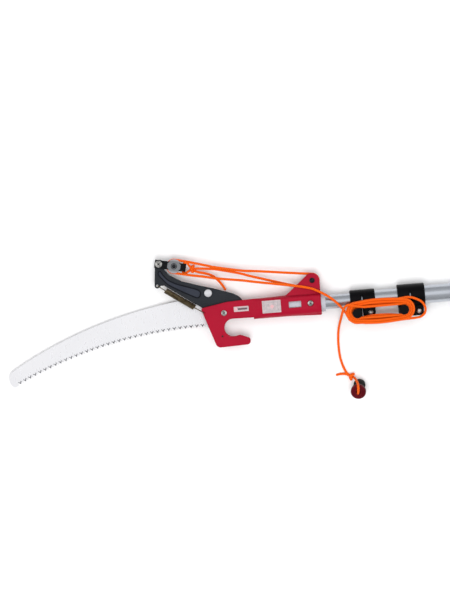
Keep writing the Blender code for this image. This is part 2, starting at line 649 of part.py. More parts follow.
def on_block(along, across, z=0.0):
    """A point of the tip block in the pole frame."""
    turn = math.radians(BLOCK_TILT)
    return (TIP_BOLT[0] + along * math.cos(turn) - across * math.sin(turn),
            TIP_BOLT[1] + along * math.sin(turn) + across * math.cos(turn), z)


def tangent(centre, point, side):
    """Angle in degrees on a sheave at which a cord leaves it straight for a point; side is 1 for
    the anticlockwise tangent seen from the sheave, -1 for the other."""
    reach = Vector(point[:2]) - Vector(centre[:2])
    return math.degrees(math.atan2(reach.y, reach.x) + side * math.acos(ROPE_PITCH_R / reach.length))


def reeving():
    """Cord between the tip block and the head: becket, rear sheave, tip sheave, then over the lug."""
    becket = Vector(on_block(BLOCK_LENGTH + 9.9, 0.0))
    lug_face = Vector((-42.0, 27.2, SHELL_HALF + CORD_R + 0.4))
    across = math.degrees(math.atan2(LUG[1] - TIP_SHEAVE[1], LUG[0] - TIP_SHEAVE[0])) + 90.0

    def wrap(centre, start, end):
        return [(*p, 0.0) for p in arc(centre, ROPE_PITCH_R, start, end, 12)]

    tip_wrap = wrap(TIP_SHEAVE, across, 360.0 + tangent(TIP_SHEAVE, lug_face, -1))
    rear_wrap = wrap(LUG, tangent(LUG, becket, 1), 360.0 + across)
    cord("cord_tip_wrap", tip_wrap, BLOCK_CORD, spacing=30.0)
    cord("cord_rear_wrap", rear_wrap, HEAD, spacing=30.0)

    def strand(name, start, end, gap=0.4):
        start, end = Vector(start), Vector(end)
        step = (end - start).normalized() * gap
        cord(name, [start + step, end - step], HEAD, spacing=40.0)

    strand("cord_upper_strand", tip_wrap[0], rear_wrap[-1])
    strand("cord_middle_strand", becket, rear_wrap[0])
    strand("cord_lower_strand", tip_wrap[-1], lug_face)

    knot = turned([(0.0, -4.6), (2.6, -4.2), (4.6, -1.6), (4.6, 1.6), (2.6, 4.2), (0.0, 4.6)], SMALL_STEPS)
    piece("becket_knot", moved(knot, (BLOCK_LENGTH + 5.2, 0.0, 0.0), "X"), "cord", BLOCK)
    cord("cord_knot_tail", [(-206.5, 62.2, -2.6), (-196.0, 60.4, -4.4), (-184.0, 57.2, -5.2),
                            (-174.0, 49.6, -6.6), (-167.4, 39.6, -8.4), (-163.2, 30.4, -9.6)],
         BLOCK_CORD, spacing=7.0)
    cord("cord_lead", [lug_face + Vector((0.8, -0.25, 0.1)), (-22.6, 21.0, 10.9), (-8.0, 12.6, 14.4),
                       (4.0, 3.6, 14.6), (12.0, -4.4, 14.0), (17.5, -11.0, 14.6)], HEAD, spacing=7.0)


def hank_height(y):
    return HANK_BASE + HANK_SLOPE * y


def hank():
    """The cord wound round both clamp knobs, the stretch that hangs from it, and the pull handle."""
    def oval(radius, steps):
        left, right = (KNOB_X[0], HANK_Y), (KNOB_X[1], HANK_Y)
        return arc(right, radius, -90.0, 90.0, steps) + arc(left, radius, 90.0, 270.0, steps)

    winding = prism(oval(HANK_OUTER_R, 10), 0.0, HANK_HEIGHT)
    hole = prism(oval(HANK_INNER_R, 10), -2.0, HANK_HEIGHT + 2.0)
    for solid in (winding, hole):
        for vert in solid.verts:
            vert.co.z += hank_height(vert.co.y)
    piece("cord_hank", winding, "cord", MIDDLE, cut=[hole])
    cord("cord_hank_loop",
         [(121.0, -1.8, 22.3), (131.0, -4.4, 21.0), (141.0, -10.0, 18.2), (147.8, -18.6, 12.0),
          (147.6, -27.6, 11.4), (141.0, -33.0, 11.6), (133.6, -34.4, 12.6)], MIDDLE, spacing=6.0)
    cord("cord_drop",
         [(21.4, -22.6, 17.6), (18.4, -27.0, 9.6), (15.6, -33.0, -1.0), (12.6, -41.0, -11.0),
          (9.8, -52.0, -15.9), (8.3, -67.1, -16.6), (8.6, -79.8, -16.6), (10.4, -92.6, -16.6),
          (14.0, -104.6, -16.4), (19.6, -113.4, -15.6)], MIDDLE, spacing=7.0)
    knot = turned([(0.0, -5.6), (3.0, -5.0), (4.4, -2.0), (4.4, 2.0), (3.0, 5.0), (0.0, 5.6)], 14)
    piece("handle_knot", moved(knot, (25.4, -117.4, -13.9), "X"), "cord", MIDDLE)
    cord("cord_tail",
         [(19.0, -116.6, -15.2), (12.6, -115.6, -16.4), (6.0, -114.9, -16.6), (0.0, -115.8, -16.6)],
         MIDDLE, spacing=6.0)
    cord("cord_handle_leg", [(31.6, -119.6, -11.6), (33.6, -124.0, -3.0), (35.4, -128.4, 9.0),
                             (35.6, -131.2, 17.6), (34.9, -135.4, 22.6), (33.7, -140.4, 20.8),
                             (32.6, -144.6, 15.0)], MIDDLE, spacing=5.0)


def pull_handle():
    """Bobbin-shaped handle with a cord bore, leaning on the surface."""
    bore = 3.0
    core = turned([(bore, 0.0), (8.4, 0.0), (9.4, 1.0), (9.4, 7.0), (8.4, 8.0), (6.6, 9.4), (6.6, 22.2),
                   (bore, 22.2)], 24, loop=True)
    piece("pull_handle_core", core, "dark_grey", HANDLE)
    cap = turned([(bore, 22.5), (8.0, 22.5), (11.4, 23.8), (12.0, 25.0), (12.0, 29.6), (11.2, 30.6),
                  (9.0, 30.8), (8.6, 29.8), (6.4, 29.8), (6.0, 30.8), (bore + 0.6, 30.8)], 28, loop=True)
    piece("pull_handle_cap", cap, "dark_red", HANDLE)


def clear_scene():
    for obj in list(bpy.data.objects):
        bpy.data.objects.remove(obj, do_unlink=True)


clear_scene()
MATERIALS = make_materials()
FRAME = bpy.data.objects.new("saw_frame", None)
bpy.context.collection.objects.link(FRAME)
FRAME.location = (-CENTRE_X * MM, -CENTRE_Y * MM, AXIS_HEIGHT * MM)


class Root:
    """The pole frame's own place."""
    empty = FRAME
    at = Vector((0.0, 0.0, 0.0))
    local = False


POLE = Place("outer_section", (0, 0, 0), Root)
MIDDLE = Place("middle_section", (0, 0, 0), Root)
HEAD = Place("head", (0, 0, 0), Root)
CUTTER = Place("lever_pivot", (*PIVOT, 0.0), Root)
SPRING = Place("spring_anchor", (*SPRING_HOLE, 0.0), Root)
TIP_SHEAVE = on_block(SHEAVE_REACH, 0.0)
BLOCK_TURN = Matrix.Rotation(math.radians(BLOCK_TILT), 4, "Z")
BLOCK = Place("tip_block_pivot", (*TIP_BOLT, 0.0), Root, turn=BLOCK_TURN)
BLOCK_CORD = Place("tip_cord", (*TIP_BOLT, 0.0), Root)
HANDLE_LEAN = (Matrix.Rotation(math.radians(HANDLE_HEADING), 4, "Z")
               @ Matrix.Rotation(math.radians(HANDLE_TILT), 4, "X"))
HANDLE = Place("pull_handle_frame", (*HANDLE_FOOT, -AXIS_HEIGHT + 9.4 * math.sin(math.radians(HANDLE_TILT))
                                     + 0.1), Root, turn=HANDLE_LEAN)

pole()
head()
lever()
tip_block()
reeving()
hank()
pull_handle()
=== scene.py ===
"""Telescoping pole saw on a white floor, seen from straight above.

Lengths in the functions below are millimetres in the pole frame: +X along the pole from the head to
the butt, +Y towards the lever arm, +Z up, from the pole's axis at the head's rear end. spot() turns
them into the row frame's metres.
"""
import json
import math
import random

import bmesh
import bpy
from mathutils import Matrix, Vector

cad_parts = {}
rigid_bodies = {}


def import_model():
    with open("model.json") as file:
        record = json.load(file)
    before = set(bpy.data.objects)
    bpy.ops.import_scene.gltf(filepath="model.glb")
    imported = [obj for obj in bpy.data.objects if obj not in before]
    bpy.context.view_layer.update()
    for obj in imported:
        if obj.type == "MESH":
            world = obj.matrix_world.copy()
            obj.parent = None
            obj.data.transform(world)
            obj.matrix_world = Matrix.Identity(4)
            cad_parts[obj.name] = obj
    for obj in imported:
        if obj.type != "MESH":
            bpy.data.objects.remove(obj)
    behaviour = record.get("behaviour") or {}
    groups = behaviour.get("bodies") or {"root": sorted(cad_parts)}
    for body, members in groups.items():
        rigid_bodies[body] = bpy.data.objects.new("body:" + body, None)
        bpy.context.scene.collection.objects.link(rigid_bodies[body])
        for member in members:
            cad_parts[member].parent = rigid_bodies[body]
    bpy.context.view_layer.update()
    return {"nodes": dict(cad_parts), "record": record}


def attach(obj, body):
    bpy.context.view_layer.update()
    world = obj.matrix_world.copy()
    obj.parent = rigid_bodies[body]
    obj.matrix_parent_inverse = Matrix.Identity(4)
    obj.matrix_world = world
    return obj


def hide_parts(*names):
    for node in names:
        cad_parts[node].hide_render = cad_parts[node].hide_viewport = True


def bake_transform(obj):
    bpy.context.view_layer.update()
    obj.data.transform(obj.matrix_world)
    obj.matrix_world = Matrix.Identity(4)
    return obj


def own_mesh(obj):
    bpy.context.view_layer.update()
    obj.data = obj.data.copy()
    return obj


for leftover in list(bpy.data.objects):
    bpy.data.objects.remove(leftover)

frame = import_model()
NODES = frame["nodes"]

CENTRE_X = 359.45                    # middle of the whole object
CENTRE_Y = -3.58
AXIS_HEIGHT = 18.6                   # pole's axis above the floor
PIVOT = (-167.3, -4.2)
TIP_BOLT = (-263.5, 80.5)
LUG = (-25.6, 35.9)                  # rear sheave's axle
SPRING_HOLE = (-198.4, -1.7)         # in the head
LOBE = (-268.3, 46.8)                # spring's hole at the arm's corner
BLOCK_TILT = -12.6                   # tip block's heading from +X, degrees
SHEAVE_REACH = 24.3                  # tip bolt to tip sheave
KNOT_REACH = 53.2                    # tip bolt to the knot in front of the block
ROPE_PITCH_R = 10.3                  # middle of the cord round a sheave
POLE_RISE = 4.58                     # pole's slant in the picture, degrees

CORD_R = 1.9
CORD_SIDES = 10
PLAIT_ACROSS = 3.0                   # strands of the braid round the cord
PLAIT_ALONG = 1.15                   # strands in one diameter along it
PLAIT_RELIEF = 0.10                  # height of a strand, as a share of the radius
PLAIT_MEAN = 0.4                     # taken off, so that the cord keeps its radius
BLUNT = 0.25                         # share of the radius left at a tapered end
WRAP_STEPS = 24

KNOB_X = (40.6, 113.8)
HANK_Y = -20.1                       # both knobs' axes
HANK_BASE = 19.5                     # hank's underside above the pole's axis, where Y is 0
HANK_SLOPE = 0.25                    # fall of the hank towards -Y
LUG_TURN = 5                         # the turn that also goes round clamp 2's lug


def spot(point):
    """A pole-frame point in the row frame's metres."""
    return Vector(((point[0] - CENTRE_X) / 1000, (point[1] - CENTRE_Y) / 1000,
                   (point[2] + AXIS_HEIGHT) / 1000))


# ---------------------------------------------------------------- materials

class Nodes:
    """A material's node tree, with short calls for the nodes used here."""

    def __init__(self, name, **values):
        self.material = bpy.data.materials.new(name)
        self.material.use_nodes = True
        self.tree = self.material.node_tree
        self.shader = self.tree.nodes["Principled BSDF"]
        for key, value in values.items():
            self.shader.inputs[key.replace("_", " ")].default_value = value

    def add(self, kind, inputs=None, **settings):
        node = self.tree.nodes.new(kind)
        for key, value in settings.items():
            setattr(node, key, value)
        for key, value in (inputs or {}).items():
            if isinstance(value, bpy.types.NodeSocket):
                self.tree.links.new(value, node.inputs[key])
            else:
                node.inputs[key].default_value = value
        return node

    def object_space(self, scale=(1, 1, 1), turn=(0, 0, 0)):
        coords = self.add("ShaderNodeTexCoord")
        return self.add("ShaderNodeMapping", {"Vector": coords.outputs["Object"], "Scale": scale,
                                              "Rotation": turn}).outputs[0]

    def noise(self, vector, scale, detail=3.0, rough=0.55):
        return self.add("ShaderNodeTexNoise", {"Vector": vector, "Scale": scale, "Detail": detail,
                                               "Roughness": rough}).outputs["Fac"]

    def ramp(self, fac, stops):
        node = self.add("ShaderNodeValToRGB", {"Fac": fac})
        while len(node.color_ramp.elements) < len(stops):
            node.color_ramp.elements.new(0.5)
        for element, (place, colour) in zip(node.color_ramp.elements, stops):
            element.position = place
            element.color = (*colour, 1)
        return node.outputs["Color"]

    def span(self, fac, low, high, out_low, out_high):
        return self.add("ShaderNodeMapRange", {"Value": fac, "From Min": low, "From Max": high,
                                               "To Min": out_low, "To Max": out_high}).outputs["Result"]

    def math(self, operation, a, b=0.0):
        return self.add("ShaderNodeMath", {0: a, 1: b}, operation=operation).outputs[0]

    def mix(self, fac, a, b):
        node = self.add("ShaderNodeMix", {0: fac}, data_type="RGBA")
        for key, value in ((6, a), (7, b)):
            if isinstance(value, bpy.types.NodeSocket):
                self.tree.links.new(value, node.inputs[key])
            else:
                node.inputs[key].default_value = (*value, 1)
        return node.outputs[2]

    def wire(self, **links):
        for key, socket in links.items():
            self.tree.links.new(socket, self.shader.inputs[key.replace("_", " ")])

    def bump(self, height, strength, distance):
        node = self.add("ShaderNodeBump", {"Height": height, "Strength": strength, "Distance": distance})
        self.tree.links.new(node.outputs[0], self.shader.inputs["Normal"])
        return self


def moulded(name, light, dark, rough, grain, shine=0.15):
    """Moulded plastic: slight flow colour, fine grain, faint scuffs that show as rougher spots."""
    made = Nodes(name, Roughness=rough, Specular_IOR_Level=shine)
    place = made.object_space()
    flow = made.noise(place, 22.0, 2.0)
    fine = made.noise(place, 1900.0, 2.0)
    scuff = made.noise(made.object_space((30, 160, 60), (0.3, 0.2, 0.5)), 6.0, 4.0, 0.7)
    made.wire(Base_Color=made.ramp(flow, [(0.3, dark), (0.7, light)]),
              Roughness=made.span(scuff, 0.45, 0.75, rough, rough + 0.22))
    return made.bump(fine, grain, 0.0002).material


def painted(name, light, dark, rough=0.5, metal=0.2):
    """Powder coat on steel: orange-peel bumps with a fine metallic fleck."""
    made = Nodes(name, Metallic=metal, Specular_IOR_Level=0.1)
    place = made.object_space()
    peel = made.noise(place, 900.0, 2.0)
    cloud = made.noise(place, 30.0, 3.0)
    fleck = made.noise(place, 5200.0, 1.0)
    base = made.ramp(cloud, [(0.3, dark), (0.7, light)])
    made.wire(Base_Color=made.mix(made.span(fleck, 0.6, 0.8, 0.0, 0.25), base, (0.20, 0.21, 0.23)),
              Roughness=made.span(cloud, 0.3, 0.7, rough - 0.06, rough + 0.08))
    return made.bump(peel, 0.25, 0.0002).material


def brushed(name, light, dark, rough, stretch, coarse=260.0, metal=1.0):
    """Drawn or ground metal: long fine scratches along the stretched axis, soft cloudy tone."""
    made = Nodes(name, Metallic=metal)
    lines = made.noise(made.object_space(stretch), coarse, 4.0, 0.65)
    cloud = made.noise(made.object_space(), 14.0, 3.0)
    tone = made.math("ADD", made.math("MULTIPLY", lines, 0.55), made.math("MULTIPLY", cloud, 0.45))
    made.wire(Base_Color=made.ramp(tone, [(0.32, dark), (0.66, light)]),
              Roughness=made.span(lines, 0.3, 0.7, rough - 0.05, rough + 0.09))
    return made.bump(lines, 0.08, 0.0001).material


def plated(name, light, dark, rough=0.18):
    """Bright plating with small pits and a dull film in patches."""
    made = Nodes(name, Metallic=1.0)
    place = made.object_space()
    film = made.noise(place, 160.0, 4.0, 0.6)
    pits = made.noise(place, 2400.0, 1.0)
    made.wire(Base_Color=made.ramp(film, [(0.35, dark), (0.6, light)]),
              Roughness=made.span(film, 0.3, 0.7, rough, rough + 0.2))
    return made.bump(made.span(pits, 0.62, 0.75, 0.0, 1.0), 0.15, 0.0001).material


def braid():
    """Braided cord: plaited strands in two directions, with painted shade in the gaps between them and
    frayed fibres. The UV map holds the turn round the cord and the distance along it in diameters."""
    made = Nodes("braided_cord", Roughness=0.65, Sheen_Weight=0.12, Sheen_Roughness=0.5,
                 Sheen_Tint=(1.0, 0.4, 0.1, 1.0), Specular_IOR_Level=0.12)
    split = made.add("ShaderNodeSeparateXYZ", {0: made.add("ShaderNodeTexCoord").outputs["UV"]})
    across, along = split.outputs[0], split.outputs[1]
    forward = made.math("MULTIPLY", along, PLAIT_ALONG)
    waves = []
    for lean in (PLAIT_ACROSS, -PLAIT_ACROSS):
        slant = made.math("ADD", made.math("MULTIPLY", across, lean), forward)
        waves.append(made.math("ABSOLUTE", made.math("SINE", made.math("MULTIPLY", slant, math.pi))))
    plait = made.math("MINIMUM", *waves)
    fibre = made.noise(made.object_space(), 2600.0, 3.0, 0.7)
    cloud = made.noise(made.object_space(), 45.0, 2.0)
    tone = made.math("ADD", made.math("MULTIPLY", plait, 0.8), made.math("MULTIPLY", fibre, 0.22))
    # Colour follows the plait: dark orange in the gaps between strands, painted shade, with the fibre noise
    # mixed in.
    base = made.ramp(tone, [(0.10, (0.30, 0.030, 0.003)), (0.34, (0.86, 0.105, 0.004)),
                            (0.80, (1.0, 0.150, 0.006))])
    worn = made.mix(made.span(cloud, 0.5, 0.8, 0.0, 0.2), base, (0.62, 0.075, 0.006))
    made.wire(Base_Color=worn)
    return made.bump(tone, 0.5, 0.0006).material


def label_film():
    """Silver film, a little creased."""
    made = Nodes("label_film", Metallic=0.35, Coat_Weight=0.3)
    crease = made.noise(made.object_space(), 260.0, 4.0, 0.6)
    made.wire(Base_Color=made.ramp(crease, [(0.35, (0.40, 0.34, 0.35)), (0.65, (0.56, 0.48, 0.49))]),
              Roughness=made.span(crease, 0.3, 0.7, 0.25, 0.45))
    return made.bump(crease, 0.3, 0.0003).material


RED = moulded("housing_red", (0.36, 0.0024, 0.022), (0.32, 0.0019, 0.019), 0.33, 0.10)
# Darker copy of the housing red for the shells' rounded edges: painted shade along those edges.
RED_EDGE_SHADE = moulded("housing_red_edge_shade", (0.17, 0.0014, 0.011), (0.13, 0.0010, 0.008), 0.45, 0.10)
BLACK = moulded("clamp_black", (0.0035, 0.0035, 0.0045), (0.0015, 0.0015, 0.0018), 0.28, 0.2, 0.07)
WHITE = moulded("nylon_white", (0.48, 0.485, 0.53), (0.42, 0.425, 0.47), 0.38, 0.1, 0.3)
SHEAVE = moulded("nylon_grey", (0.37, 0.36, 0.375), (0.31, 0.305, 0.32), 0.38, 0.1, 0.3)
CAP_RED = moulded("handle_red", (0.115, 0.0014, 0.0065), (0.065, 0.0008, 0.0035), 0.4, 0.3)
GREY_GRIP = moulded("handle_grey", (0.026, 0.026, 0.0245), (0.014, 0.014, 0.013), 0.6, 0.5)
ARM = painted("arm_coat", (0.026, 0.029, 0.034), (0.018, 0.0205, 0.025))
PANEL = painted("arm_panel", (0.042, 0.047, 0.062), (0.028, 0.032, 0.046), 0.35, 0.3)
# Near-black fill for the arm's groove, the ring round the tip rivet and the screw crosses: painted shade in
# these recesses and gaps.
RECESS_SHADE = painted("painted_recess_shade", (0.003, 0.004, 0.008), (0.0015, 0.002, 0.004), 0.4, 0.0)
STRAP = painted("strap_coat", (0.0024, 0.0024, 0.003), (0.001, 0.001, 0.0014), 0.35, 0.0)
ALUMINIUM = brushed("drawn_aluminium", (0.50, 0.53, 0.575), (0.43, 0.455, 0.495), 0.26, (0.06, 6, 6))
BLADE = brushed("ground_steel", (0.76, 0.76, 0.775), (0.71, 0.71, 0.73), 0.30, (3, 0.35, 3), 150.0, 0.7)
# Darker copy of the blade steel for the teeth's ground facets: painted shade.
TOOTH_SHADE = brushed("tooth_facet_shade", (0.26, 0.26, 0.28), (0.15, 0.15, 0.165), 0.25, (3, 3, 1), 200.0)
CHROME = plated("chrome", (0.66, 0.65, 0.63), (0.24, 0.235, 0.22))
ZINC = brushed("zinc_sheet", (0.26, 0.265, 0.28), (0.19, 0.195, 0.205), 0.42, (1, 5, 1), 120.0, 0.9)
WHITE_RIVET = brushed("rivet_steel", (0.62, 0.62, 0.64), (0.54, 0.54, 0.56), 0.32, (1, 5, 1), 120.0, 0.4)
DARK = plated("oiled_steel", (0.035, 0.035, 0.04), (0.008, 0.008, 0.010), 0.3)
SPRING = plated("spring_wire", (0.20, 0.155, 0.09), (0.055, 0.038, 0.018), 0.25)
CORD = braid()
FILM = label_film()
INK = moulded("ink_dark", (0.16, 0.10, 0.11), (0.10, 0.06, 0.07), 0.5, 0.05)
PALE_INK = moulded("ink_pale", (0.42, 0.40, 0.41), (0.34, 0.32, 0.33), 0.5, 0.05)
PINK_INK = moulded("ink_pink", (0.72, 0.42, 0.44), (0.62, 0.36, 0.38), 0.5, 0.05)

BY_SLOT = {
    "red_plastic": RED, "black_plastic": BLACK, "arm_paint": ARM, "blade_steel": BLADE, "chrome": CHROME,
    "dark_steel": DARK, "pole_aluminium": ALUMINIUM, "white_plastic": WHITE, "zinc_steel": ZINC,
    "spring_steel": SPRING, "cord": CORD, "handle_red": CAP_RED, "handle_grey": GREY_GRIP,
    "label_film": FILM,
}
BY_NODE = {"block_strap": STRAP, "lever_rivet": WHITE_RIVET, "tip_sheave": SHEAVE, "rear_sheave": SHEAVE}
SLOT_OF = {row["node"]: row["material_slot"] for row in frame["record"]["subparts"]}


# ---------------------------------------------------------------- CAD nodes

ROUNDED = {"housing_top_shell": 0.8, "housing_bottom_shell": 0.8, "clamp_1_collar": 0.3,
           "clamp_2_collar": 0.3, "lever_arm": 0.2, "block_strap": 0.25, "butt_cap": 0.3,
           "pull_handle_core": 0.3, "pull_handle_cap": 0.3, "clamp_1_knob": 0.3, "clamp_2_knob": 0.3,
           "pivot_nut": 0.15, "tip_nut": 0.15, "clamp_1_nut": 0.12, "clamp_2_nut": 0.12}
WELD_DISTANCE = 0.000002
ROUNDING_ANGLE = 40.0                # degrees between two faces from which an edge is sharp
SPLIT_ANGLE = 42.0
PANEL_HEIGHT = 0.0200                # floor of the arm's pressed panel, metres
PANEL_MARGIN = 0.0002


def dress(name, obj):
    """Gives a CAD node its finish, welded and smooth across its shallow edges. The nodes in ROUNDED
    get their sharp edges rounded by the width given there, in a darker red on the red shells: painted shade."""
    material = BY_NODE.get(name) or BY_SLOT[SLOT_OF[name]]
    obj.data.materials.clear()
    obj.data.materials.append(material)
    obj.data.shade_smooth()
    weld = obj.modifiers.new("weld", "WELD")
    weld.merge_threshold = WELD_DISTANCE
    if name in ROUNDED:
        rounding = obj.modifiers.new("rounding", "BEVEL")
        rounding.width = ROUNDED[name] / 1000
        rounding.segments = 2
        rounding.limit_method = "ANGLE"
        rounding.angle_limit = math.radians(ROUNDING_ANGLE)
        rounding.use_clamp_overlap = True
        # On the red shells the rounded edges take the darker red: painted shade.
        if material is RED:
            obj.data.materials.append(RED_EDGE_SHADE)
            rounding.material = 1
    split = obj.modifiers.new("split", "EDGE_SPLIT")
    split.split_angle = math.radians(SPLIT_ANGLE)


for node_name, node in NODES.items():
    dress(node_name, node)

arm = NODES["lever_arm"]
arm.data.materials.append(PANEL)
for face in arm.data.polygons:
    faces_up = face.normal.z > 0.9
    if faces_up and abs(face.center.z - PANEL_HEIGHT) < PANEL_MARGIN:
        face.material_index = 1


# ---------------------------------------------------------------- shapes

def make(name, bm, material, body, smooth=True, sharp=40.0):
    """A piece from a mesh in pole-frame millimetres that rides on a CAD body."""
    for vert in bm.verts:
        vert.co = spot(vert.co)
    bmesh.ops.recalc_face_normals(bm, faces=bm.faces)
    mesh = bpy.data.meshes.new(name)
    bm.to_mesh(mesh)
    bm.free()
    for one in material if isinstance(material, (list, tuple)) else (material,):
        mesh.materials.append(one)
    if smooth:
        mesh.shade_smooth()
        mesh.set_sharp_from_angle(angle=math.radians(sharp))
    obj = bpy.data.objects.new(name, mesh)
    bpy.context.scene.collection.objects.link(obj)
    if body:
        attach(obj, body)
    return obj


def arc(centre, radius, start, end, steps):
    """Points on an arc between two headings in degrees, both ends included."""
    return [(centre[0] + radius * math.cos(math.radians(start + (end - start) * i / steps)),
             centre[1] + radius * math.sin(math.radians(start + (end - start) * i / steps)))
            for i in range(steps + 1)]


def spline(points, spacing, closed=False):
    """Points at an even spacing along a smooth curve through the given ones, which is first cut
    finer than that spacing."""
    fine_step = spacing * 0.35
    points = [Vector(p) for p in points]
    if closed:
        ends = [points[-1]] + points + points[:2]
    else:
        ends = [2 * points[0] - points[1]] + points + [2 * points[-1] - points[-2]]
    fine = []
    for a, b, c, d in zip(ends, ends[1:], ends[2:], ends[3:]):
        steps = max(2, math.ceil((c - b).length / fine_step))
        for k in range(steps):
            t = k / steps
            fine.append(0.5 * (2 * b + (c - a) * t + (2 * a - 5 * b + 4 * c - d) * t * t
                               + (3 * b - a - 3 * c + d) * t ** 3))
    fine.append(Vector(points[0] if closed else points[-1]))
    total = length_of(fine)
    count = max(2, round(total / spacing))
    even, gone, i = [fine[0]], 0.0, 0
    for k in range(1, count):
        target = total * k / count
        while gone + (fine[i + 1] - fine[i]).length < target:
            gone += (fine[i + 1] - fine[i]).length
            i += 1
        step = (fine[i + 1] - fine[i]).length
        even.append(fine[i].lerp(fine[i + 1], (target - gone) / step))
    if not closed:
        even.append(fine[-1])
    return even


def length_of(points):
    return sum((b - a).length for a, b in zip(points, points[1:]))


def sweep(path, radius, sides, closed=False, relief=0.0, taper=0.0):
    """Tube along a path, with a UV map of turn and distance in diameters. Relief gives it the plaited
    bumps of a braid; taper narrows its ends over that length."""
    bm = bmesh.new()
    uv = bm.loops.layers.uv.new("UVMap")
    count = len(path)
    gone = [0.0]
    for a, b in zip(path, path[1:]):
        gone.append(gone[-1] + (b - a).length)
    side = None
    rings = []
    for i, point in enumerate(path):
        back = path[i - 1] if i or closed else point
        ahead = path[(i + 1) % count] if i < count - 1 or closed else point
        along = (ahead - back).normalized()
        if side is None:
            side = along.cross(Vector((0, 0, 1)))
            if side.length < 0.1:
                side = along.cross(Vector((1, 0, 0)))
        side = (side - along * side.dot(along)).normalized()
        up = along.cross(side)
        scale = 1.0
        if taper:
            edge = min(gone[i], gone[-1] - gone[i])
            scale = min(1.0, math.sqrt(edge / taper) * (1 - BLUNT) + BLUNT)
        ring = []
        for k in range(sides):
            turn = math.tau * k / sides
            bump = 0.0
            if relief:
                phase = gone[i] / (2 * radius) * PLAIT_ALONG * math.pi
                twist = PLAIT_ACROSS / 2 * turn
                plait = min(abs(math.sin(twist + phase)), abs(math.sin(twist - phase)))
                bump = relief * (plait - PLAIT_MEAN)
            reach = radius * scale * (1.0 + bump)
            ring.append(bm.verts.new(point + (side * math.cos(turn) + up * math.sin(turn)) * reach))
        rings.append(ring)
    if closed:
        gone.append(gone[-1] + (path[0] - path[-1]).length)
    for i in range(count if closed else count - 1):
        one, two = rings[i], rings[(i + 1) % count]
        for k in range(sides):
            j = (k + 1) % sides
            face = bm.faces.new((one[k], one[j], two[j], two[k]))
            spots = ((k, i), (k + 1, i), (k + 1, i + 1), (k, i + 1))
            for loop, (turn, ring) in zip(face.loops, spots):
                loop[uv].uv = (turn / sides, gone[ring] / (2 * radius))
    if not closed:
        for ring, at in ((rings[0], gone[0]), (rings[-1], gone[-1])):
            face = bm.faces.new(ring)
            for loop in face.loops:
                loop[uv].uv = (0.0, at / (2 * radius))
    return bm


def rope(name, points, body, spacing=1.3, closed=False, taper=0.0):
    """A stretch of the cord, and the points along its middle."""
    path = spline(points, spacing, closed)
    tube = sweep(path, CORD_R, CORD_SIDES, closed, PLAIT_RELIEF, taper)
    obj = make(name, tube, CORD, body, sharp=80.0)
    return obj, path


def on_block(along, across, z=0.0):
    """A place on the tip block, from its bolt along and across the block."""
    turn = math.radians(BLOCK_TILT)
    return (TIP_BOLT[0] + along * math.cos(turn) - across * math.sin(turn),
            TIP_BOLT[1] + along * math.sin(turn) + across * math.cos(turn), z)


# ---------------------------------------------------------------- cord

TIP_SHEAVE = on_block(SHEAVE_REACH, 0.0)
LUG_FACE = (-42.0, 27.2, 10.3)       # where the lower strand ends and the lead starts
KNOT = on_block(KNOT_REACH, 0.0)


def tangent(centre, point, side):
    """Heading from a sheave's centre to where a cord from the point touches it."""
    reach = Vector(point[:2]) - Vector(centre[:2])
    return math.degrees(math.atan2(reach.y, reach.x) + side * math.acos(ROPE_PITCH_R / reach.length))


def reeving():
    """Cord wraps on both sheaves and the three strands between them."""
    across = math.degrees(math.atan2(LUG[1] - TIP_SHEAVE[1], LUG[0] - TIP_SHEAVE[0])) + 90.0
    off_tip = 360 + tangent(TIP_SHEAVE, LUG_FACE, -1)
    front = [(*p, 0.0) for p in arc(TIP_SHEAVE, ROPE_PITCH_R, across, off_tip, WRAP_STEPS)]
    rear = [(*p, 0.0) for p in arc(LUG, ROPE_PITCH_R, tangent(LUG, KNOT, 1), 360 + across, WRAP_STEPS)]
    wrap, _ = rope("tip_sheave_wrap", front, "tip_block")
    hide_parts("cord_tip_wrap")
    wrap, _ = rope("rear_sheave_wrap", rear, "head")
    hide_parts("cord_rear_wrap")

    strands = {
        "upper": [front[0], (-217.3, 80.4, 0.5), (-188.0, 72.0, 1.9), (-175.7, 68.6, 2.1),
                  (-135.4, 60.2, 1.4), (-110.4, 57.2, 0.8), (-60.5, 50.6, 0.1), rear[-1]],
        "middle": [KNOT, (-201.0, 68.6, -0.8), (-188.3, 67.2, -2.1), (-172.7, 64.9, -2.0),
                   (-139.3, 56.4, -1.2), (-121.2, 50.3, -0.9), (-101.5, 44.2, -0.6), (-83.5, 38.7, -0.3),
                   (-49.7, 29.0, 0.0), rear[0]],
        "lower": [front[-1], (-216.4, 59.4, 1.0), (-196.7, 55.7, 2.1), (-171.9, 50.4, 3.3),
                  (-136.7, 44.9, 5.2), (-111.9, 40.1, 6.5), (-83.8, 35.1, 8.4), (-52.0, 29.2, 10.2),
                  LUG_FACE],
    }
    for kind, points in strands.items():
        obj, _ = rope(f"{kind}_strand", points, None)
        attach(obj, "head")
        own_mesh(obj)
        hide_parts(f"cord_{kind}_strand")


